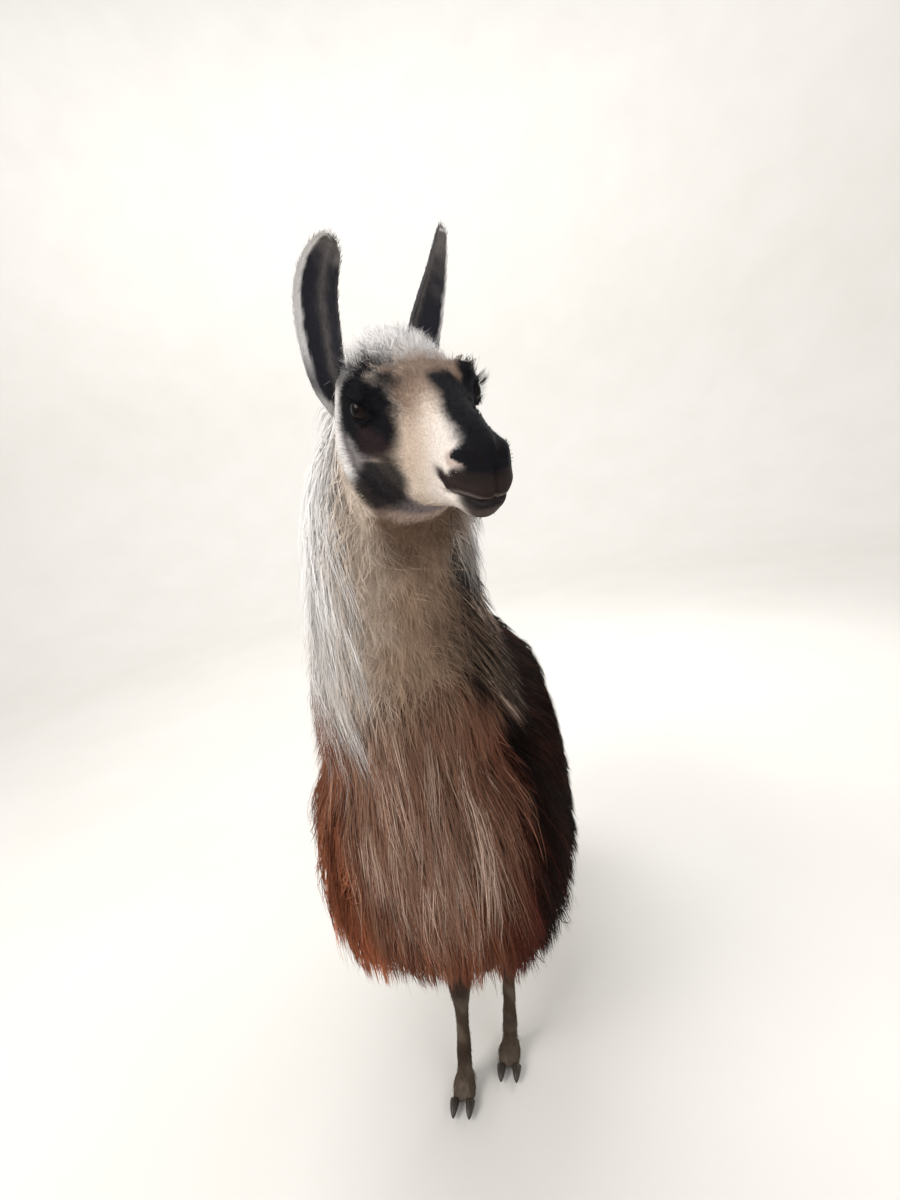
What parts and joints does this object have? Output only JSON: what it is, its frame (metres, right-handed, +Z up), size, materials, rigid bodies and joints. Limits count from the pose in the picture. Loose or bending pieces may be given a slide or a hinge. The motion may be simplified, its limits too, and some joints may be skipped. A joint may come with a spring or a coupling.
{
  "type": "standing llama",
  "caption": "Life-size model of a standing long-haired llama, neck upright, head turned and held slightly down, ears raised, with two-toed feet flat on the floor.",
  "frame": {"origin": "The middle of the bounding box in x and y, on the floor that the feet stand on.", "axes": "+Z is up, the llama faces -Y, and its left side is at +X."},
  "size_m": [0.619, 1.5018, 1.7772],
  "materials": {
    "fleece_brown": "long matted wool",
    "fleece_white": "long fluffy wool",
    "shank_grey": "short hair",
    "ear_black": "short hair",
    "nail_horn": "smooth horn",
    "eye_dark": "wet gloss"
  },
  "bodies": {
    "root": {"trunk": "fleece_brown", "neck_lower": "fleece_white", "neck_upper": "fleece_white", "head": "fleece_white", "ear_left": "ear_black", "ear_right": "ear_black", "eye_left": "eye_dark", "eye_right": "eye_dark", "tail": "fleece_brown", "leg_fore_left": "fleece_brown", "leg_fore_right": "fleece_brown", "leg_hind_left": "fleece_brown", "leg_hind_right": "fleece_brown", "shank_fore_left": "shank_grey", "shank_fore_right": "shank_grey", "shank_hind_left": "shank_grey", "shank_hind_right": "shank_grey", "foot_fore_left": "shank_grey", "foot_fore_right": "shank_grey", "foot_hind_left": "shank_grey", "foot_hind_right": "shank_grey", "nail_fore_left_left": "nail_horn", "nail_fore_left_right": "nail_horn", "nail_fore_right_left": "nail_horn", "nail_fore_right_right": "nail_horn", "nail_hind_left_left": "nail_horn", "nail_hind_left_right": "nail_horn", "nail_hind_right_left": "nail_horn", "nail_hind_right_right": "nail_horn"}
  },
  "joints": []
}
